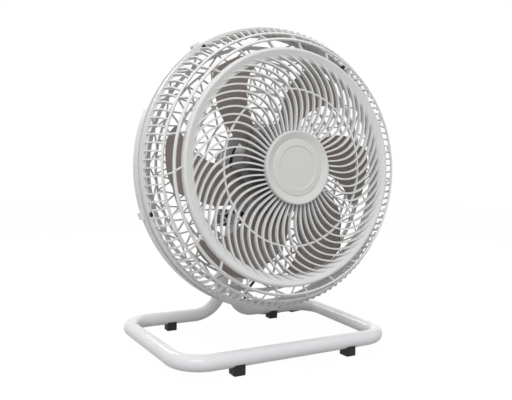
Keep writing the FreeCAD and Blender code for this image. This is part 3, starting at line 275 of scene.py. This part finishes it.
# %% [markdown]
# ## Rubber
# The feet and the cord are dull black compounds with a fine tooth and a greyish bloom that comes to the
# surface with age. An image could be wrapped round them, but noise has no seam: a slow noise between two
# near-blacks is the bloom, and a fine one is the tooth, as a bump.

# %% Rubber
TOOTH_SCALE, TOOTH_STRENGTH, TOOTH_DEPTH = 900.0, 0.35, 0.0003
BLOOM_SCALE, BLOOM_ROUGHNESS = 30.0, 0.16
BLOOM_TINT = (1.6, 1.6, 1.65)
RUBBER_DETAIL = 3.0
RUBBER_SPECULAR = 0.3


def rubber(name, black, roughness):
    finish = Finish(name)
    tooth = finish.noise(TOOTH_SCALE, RUBBER_DETAIL)
    bloom = finish.noise(BLOOM_SCALE, RUBBER_DETAIL)
    bloomed = tuple(black * tint for tint in BLOOM_TINT)
    return finish.done({
        "Base Color": finish.shade((black, black, black), bloomed, bloom),
        "Roughness": bloom * BLOOM_ROUGHNESS + (roughness - BLOOM_ROUGHNESS / 2),
        "Specular IOR Level": RUBBER_SPECULAR,
        "Normal": finish.bump(tooth, TOOTH_STRENGTH, TOOTH_DEPTH),
    })


foot_rubber = rubber("foot_rubber", 0.009, 0.62)
cord_black = rubber("cord_black", 0.009, 0.46)
print("rubbers", foot_rubber.name, cord_black.name)

# %% [markdown]
# ## Metals
# The metal parts are small or hidden, but a turned grain on the screws, stacked sheets in the cores and
# wound wire in the copper keep them true in close views. Each could have nodes of its own, but one noise,
# stretched along or across the axis, makes them all.

# %% Metals
METAL_DETAIL = 3.0
METAL_ROUGHNESS_SPREAD = 0.2
METAL_BUMP, METAL_DEPTH = 0.15, 0.0002


def metal(name, low, high, roughness, stretch, scale):
    finish = Finish(name)
    grain = finish.noise(scale, METAL_DETAIL, stretch)
    return finish.done({
        "Base Color": finish.shade(low, high, grain),
        "Roughness": grain * METAL_ROUGHNESS_SPREAD + (roughness - METAL_ROUGHNESS_SPREAD / 2),
        "Metallic": 1.0,
        "Normal": finish.bump(grain, METAL_BUMP, METAL_DEPTH),
    })


screw_steel = metal("screw_steel", (0.50, 0.50, 0.50), (0.62, 0.62, 0.62), 0.32, (1, 6, 1), 500.0)
core_steel = metal("core_steel", (0.16, 0.16, 0.17), (0.24, 0.24, 0.25), 0.55, (0.05, 30, 0.05), 60.0)
winding_copper = metal("winding_copper", (0.50, 0.20, 0.09), (0.70, 0.31, 0.15), 0.40, (20, 1, 20), 60.0)
bearing_bronze = metal("bearing_bronze", (0.56, 0.40, 0.17), (0.66, 0.49, 0.23), 0.35, (1, 8, 1), 300.0)
print("metals", screw_steel.name, core_steel.name, winding_copper.name, bearing_bronze.name)

# %% [markdown]
# ## Which solid has which finish
# On the bench the fan sorts into boxes of one material each, and the table below is that sorting. A finish
# could also be set node by node, but a table shows at a glance that none is forgotten.

# %% Give each solid its finish
finish_of = {
    grille_grey: ["front_grille", "rear_grille"],
    badge_grey: ["hub_badge"],
    blade_taupe: ["impeller"],
    tube_white: ["base_frame"],
    motor_black: ["motor_front_housing", "motor_rear_cover", "capacitor", "speed_switch", "tilt_bracket"],
    # the rim latches are black as painted shade: their black stands in for the shadow inside their slots in
    # the rim
    knob_black: ["impeller_nut", "speed_knob", "tilt_knob", "leg_plugs", "rim_latches"],
    foot_rubber: ["foot_front_left", "foot_front_right", "foot_rear_left", "foot_rear_right"],
    cord_black: ["cord_gland", "cord_stretch", "cord_coil", "cord_tie", "mains_plug"],
    screw_steel: ["motor_shaft", "drive_pin", "motor_screws", "rear_grille_screws", "bracket_screws",
                  "foot_screws", "tilt_bolt", "tilt_washers"],
    core_steel: ["stator_core", "rotor_core"],
    winding_copper: ["stator_windings"],
    bearing_bronze: ["front_bearing", "rear_bearing", "tilt_knob_nut", "plug_pins"],
}
for material, names in finish_of.items():
    for name in names:
        solid = nodes[name]
        solid.data.materials.clear()
        solid.data.materials.append(material)
print("finished", sum(len(names) for names in finish_of.values()), "of", len(nodes))

# %% [markdown]
# ## The mains cord
# A cord is one length of something soft: it leaves the strain relief, hangs, and lies on the floor in a
# tied coil behind the base. It could be swept face by face, but a NURBS curve led by the route's points is
# one smooth line, and a round bevel gives it its thickness. The coil's turns are more points of that curve.

# %% The route down from the strain relief
MILLIMETRE = 0.001
CORD_DIAMETER = 0.006
EXIT = (0.068154, 0.068815, 0.224214)
EXIT_HEADING = Vector((0.43955, 0.45808, -0.77262))
LEAD = 34.0
route = [(90.0, 96.0, 170.0), (89.0, 108.0, 138.0), (78.0, 120.0, 108.0), (64.0, 132.0, 82.0),
         (54.7, 144.0, 62.6), (55.9, 157.2, 42.7), (63.8, 164.7, 28.4), (77.4, 168.6, 17.3)]
exit_point = Vector(EXIT) / MILLIMETRE
hanging = [exit_point, exit_point + EXIT_HEADING * LEAD] + [Vector(p) for p in route]
print("route points", len(hanging))

# %% The turns of the coil
COIL_CENTRE = (128.0, 201.0)
COIL_OUTER = 40.4
COIL_LOOPS = 6
COIL_STEP = 6.7
COIL_LOW = 4.5
COIL_HIGH = COIL_LOW + COIL_STEP
COIL_START = 255.0
COIL_END = 285.0
CROSS_TURNS = 0.5
POINTS_PER_TURN = 16
total_turns = COIL_LOOPS + (COIL_END - COIL_START) / 360.0
layer_turns = (total_turns - CROSS_TURNS) / 2
inner_radius = COIL_OUTER - COIL_STEP * layer_turns


def coil_point(turn):
    """In on the top layer, down at the middle, and out again on the floor."""
    if turn < layer_turns:
        radius, height = COIL_OUTER - COIL_STEP * turn, COIL_HIGH
    elif turn < layer_turns + CROSS_TURNS:
        share = (turn - layer_turns) / CROSS_TURNS
        radius = inner_radius - COIL_STEP / 4 * math.sin(math.pi * share) / math.pi * 2
        height = COIL_HIGH + (COIL_LOW - COIL_HIGH) * (1 - math.cos(math.pi * share)) / 2
    else:
        radius, height = inner_radius + COIL_STEP * (turn - layer_turns - CROSS_TURNS), COIL_LOW
    angle = math.radians(COIL_START + turn * 360.0)
    across = COIL_CENTRE[0] + radius * math.cos(angle)
    along = COIL_CENTRE[1] + radius * math.sin(angle)
    return Vector((across, along, height))


def coil_heading(turn, step=1 / 3600):
    return (coil_point(turn + step) - coil_point(turn - step)).normalized()


turn_count = int(total_turns * POINTS_PER_TURN)
turns = [coil_point(total_turns * i / turn_count) for i in range(turn_count + 1)]
print("coil points", len(turns), "turns", round(total_turns, 2))

# %% One spline from the strain relief to the plug
LAND = 18.0
END_RUN = 30.0
arrive = coil_heading(0)
arrive.z = 0
arrive.normalize()
leave = coil_heading(total_turns)
touch_down = turns[0] - arrive * CORD_DIAMETER / MILLIMETRE
line = hanging + [touch_down - arrive * LAND, touch_down] + turns
line += [turns[-1] + leave * END_RUN / 2, turns[-1] + leave * END_RUN]
cord_curve = bpy.data.curves.new("mains_cord", "CURVE")
cord_curve.dimensions = "3D"
spline = cord_curve.splines.new("NURBS")
spline.points.add(len(line) - 1)
for point, place in zip(spline.points, line):
    point.co = (*(place * MILLIMETRE), 1.0)
spline.order_u = 3
spline.use_endpoint_u = True
cord_curve.resolution_u = 4
cord_curve.bevel_depth = CORD_DIAMETER / 2
cord_curve.bevel_resolution = 4
cord_curve.use_fill_caps = True
cord_curve.materials.append(cord_black)
mains_cord = bpy.data.objects.new("mains_cord", cord_curve)
scene.collection.objects.link(mains_cord)
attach(mains_cord, "base")
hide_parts("cord_stretch", "cord_coil")
print("cord points", len(line))

# %% [markdown]
# ## The speed dial
# A rotary switch needs marks to be read by. On such a motor they are pad-printed: a tick and a numeral for
# each of the four settings, round the knob, and a line on the knob itself. An image could carry them, but a
# print has a thickness and sharp edges, so each mark is a thin raised plate. The numerals come from the
# built-in font.

# %% Print ink
SPECKLE_SCALE, SPECKLE_DETAIL = 1100.0, 3.0
INK_LOW, INK_HIGH = (0.62, 0.62, 0.61), (0.72, 0.72, 0.71)
INK_ROUGHNESS, INK_ROUGHNESS_SPREAD = 0.4, 0.2
INK_BUMP, INK_DEPTH = 0.1, 0.0001
ink = Finish("dial_white")
speckle = ink.noise(SPECKLE_SCALE, SPECKLE_DETAIL)
dial_white = ink.done({
    "Base Color": ink.shade(INK_LOW, INK_HIGH, speckle),
    "Roughness": speckle * INK_ROUGHNESS_SPREAD + INK_ROUGHNESS,
    "Normal": ink.bump(speckle, INK_BUMP, INK_DEPTH),
})
_, cover_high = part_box("motor_rear_cover")
knob_low, knob_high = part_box("speed_knob")
dial_x = (knob_low[0] + knob_high[0]) / 2
dial_z = (knob_low[2] + knob_high[2]) / 2
print("dial centre", round(dial_x, 4), round(cover_high[1], 4), round(dial_z, 4))

# %% Plates on the back of the motor
MARK_THICK = 0.0002
MARK_SINK = 0.00005
CORNER_SHARE = 0.3


def facing_back(x_centre, y, z_centre, turn_deg=0.0):
    """Plane with its face towards the back of the fan, where +X of the world lies on the left."""
    upright = Matrix(((-1, 0, 0, x_centre), (0, 0, 1, y), (0, 1, 0, z_centre), (0, 0, 0, 1)))
    return upright @ Matrix.Rotation(math.radians(turn_deg), 4, "Z")


def add_plate(mesh, corners, plane):
    low = [mesh.verts.new(plane @ Vector((x, y, -MARK_SINK))) for x, y in corners]
    high = [mesh.verts.new(plane @ Vector((x, y, MARK_THICK))) for x, y in corners]
    mesh.faces.new(list(reversed(low)))
    mesh.faces.new(high)
    for i in range(len(corners)):
        j = (i + 1) % len(corners)
        mesh.faces.new((low[i], low[j], high[j], high[i]))


def bar_corners(start, end, width):
    cut = width * CORNER_SHARE
    half = width / 2
    return [(start + cut, -half), (end - cut, -half), (end, -half + cut), (end, half - cut),
            (end - cut, half), (start + cut, half), (start, half - cut), (start, -half + cut)]


print("plates", MARK_THICK, "m proud")

# %% Numerals and the printed piece
NUMERAL_SIZE = 0.0052


def add_numeral(mesh, text, plane):
    letters = bpy.data.curves.new("numeral", "FONT")
    letters.body = text
    letters.size = NUMERAL_SIZE
    letters.align_x = "CENTER"
    letters.align_y = "CENTER"
    letters.extrude = (MARK_THICK + MARK_SINK) / 2
    letters.resolution_u = 3
    holder = bpy.data.objects.new("numeral", letters)
    solid = bpy.data.meshes.new_from_object(holder)
    solid.transform(plane @ Matrix.Translation((0, 0, (MARK_THICK - MARK_SINK) / 2)))
    mesh.from_mesh(solid)
    bpy.data.objects.remove(holder)
    bpy.data.curves.remove(letters)
    bpy.data.meshes.remove(solid)


def printed(name, mesh, body):
    bmesh.ops.recalc_face_normals(mesh, faces=mesh.faces)
    data = bpy.data.meshes.new(name)
    mesh.to_mesh(data)
    mesh.free()
    data.materials.append(dial_white)
    piece = bpy.data.objects.new(name, data)
    scene.collection.objects.link(piece)
    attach(piece, body)
    return piece


print("numerals", NUMERAL_SIZE, "m high")

# %% Marks round the knob
SETTINGS = ["0", "1", "2", "3"]
FIRST_DEG = -45.0
STEP_DEG = 90.0
TICK_INNER, TICK_OUTER, TICK_WIDTH = 0.0158, 0.0188, 0.0009
NUMERAL_OUT = 0.0222
marks = bmesh.new()
for i, text in enumerate(SETTINGS):
    degrees = FIRST_DEG + i * STEP_DEG
    add_plate(marks, bar_corners(TICK_INNER, TICK_OUTER, TICK_WIDTH),
              facing_back(dial_x, cover_high[1], dial_z, degrees))
    across = -NUMERAL_OUT * math.cos(math.radians(degrees))
    above = NUMERAL_OUT * math.sin(math.radians(degrees))
    add_numeral(marks, text, facing_back(dial_x + across, cover_high[1], dial_z + above))
speed_marks = printed("speed_marks", marks, "head")
print("marks", len(speed_marks.data.polygons), "faces")

# %% Pointer on the knob
POINTER_INNER, POINTER_OUTER, POINTER_WIDTH = 0.0035, 0.0112, 0.0016
pointer_mesh = bmesh.new()
add_plate(pointer_mesh, bar_corners(POINTER_INNER, POINTER_OUTER, POINTER_WIDTH),
          facing_back(dial_x, knob_high[1], dial_z, FIRST_DEG))
knob_pointer = printed("knob_pointer", pointer_mesh, "speed_knob")
print("pointer", len(knob_pointer.data.polygons), "faces")

# %% [markdown]
# ## Floor and sky
# The picture is a cut-out on white. More light would whiten the ground, but it would wash out the pale
# plastic too. So the floor and the sky look white to the camera and to reflections, and light the fan only
# gently. What the camera sees of the floor has a little pale matte mixed in, where the fan's shadow stays.


# %% What the camera and the reflections see
def seen(maker):
    rays = [maker.node("ShaderNodeLightPath", {}, {}, ray)
            for ray in ("Is Camera Ray", "Is Glossy Ray", "Is Transmission Ray")]
    return rays[0] | rays[1] | rays[2]


# %% Floor
FLOOR_HALF = 12.0
FLOOR_DROP = 0.0003
FLOOR_WHITE_SHARE = 0.97
FLOOR_GREY = (0.4, 0.4, 0.4, 1)
FLOOR_PALE = (0.95, 0.95, 0.95, 1)
WHITE = (1, 1, 1, 1)
floor_mesh = bpy.data.meshes.new("floor")
signs = [(-1, -1), (1, -1), (1, 1), (-1, 1)]
floor_corners = [(x * FLOOR_HALF, y * FLOOR_HALF, -FLOOR_DROP) for x, y in signs]
floor_mesh.from_pydata(floor_corners, [], [(0, 1, 2, 3)])
floor = bpy.data.objects.new("floor", floor_mesh)
scene.collection.objects.link(floor)
card = Finish("floor_white")
dim = card.node("ShaderNodeBsdfDiffuse", {}, {"Color": FLOOR_GREY})
pale = card.node("ShaderNodeBsdfDiffuse", {}, {"Color": FLOOR_PALE})
glow = card.node("ShaderNodeEmission", {}, {"Color": WHITE, "Strength": 1.0})
shown = card.node("ShaderNodeMixShader", {}, {0: FLOOR_WHITE_SHARE, 1: pale, 2: glow})
mixed = card.node("ShaderNodeMixShader", {}, {0: seen(card), 1: dim, 2: shown})
card.node("ShaderNodeOutputMaterial", {}, {"Surface": mixed})
floor_mesh.materials.append(card.owner)
print("floor", FLOOR_HALF * 2, "m wide")

# %% Sky
AMBIENT = 0.74
studio = bpy.data.worlds.new("studio")
scene.world = studio
sky = Maker(studio)
white = sky.node("ShaderNodeBackground", {}, {"Color": WHITE, "Strength": 1.0})
soft = sky.node("ShaderNodeBackground", {}, {"Color": WHITE, "Strength": AMBIENT})
mixed = sky.node("ShaderNodeMixShader", {}, {0: seen(sky), 1: soft, 2: white})
sky.node("ShaderNodeOutputWorld", {}, {"Surface": mixed})
print("ambient", AMBIENT)

# %% [markdown]
# ## Lamps
# One small lamp would leave hard shadows among the ribs, so large soft lamps model the form, as in a small
# studio. The key stands high on the left. The top, fill and back lamps are broad and weak, so that they
# leave no glints and the underside of the drum falls off to grey. The strip behind the fan is there for its
# mirror image, which is the streak along the right of the tube.

# %% Lamps
HEAD_MIDDLE = Vector((0.0, -0.08, 0.32))


def soft_lamp(name, place, width, height, watts):
    data = bpy.data.lights.new(name, "AREA")
    data.shape = "ELLIPSE"
    data.size = width
    data.size_y = height
    data.energy = watts
    lamp = bpy.data.objects.new(name, data)
    lamp.location = place
    lamp.rotation_euler = (HEAD_MIDDLE - Vector(place)).to_track_quat("-Z", "Y").to_euler()
    scene.collection.objects.link(lamp)


soft_lamp("key_lamp", (-1.15, -1.5, 1.95), width=1.8, height=1.4, watts=33.0)
soft_lamp("top_lamp", (-0.5, 0.3, 2.2), width=1.6, height=1.6, watts=4.0)
soft_lamp("fill_lamp", (-0.3, -2.2, 0.5), width=1.8, height=1.8, watts=4.0)
soft_lamp("back_lamp", (1.4, 1.5, 0.9), width=2.2, height=2.2, watts=12.0)
soft_lamp("strip_lamp", (-0.3, 1.7, 1.35), width=0.65, height=0.9, watts=10.0)
print("lamps", len(bpy.data.lights))

# %% [markdown]
# ## Closing
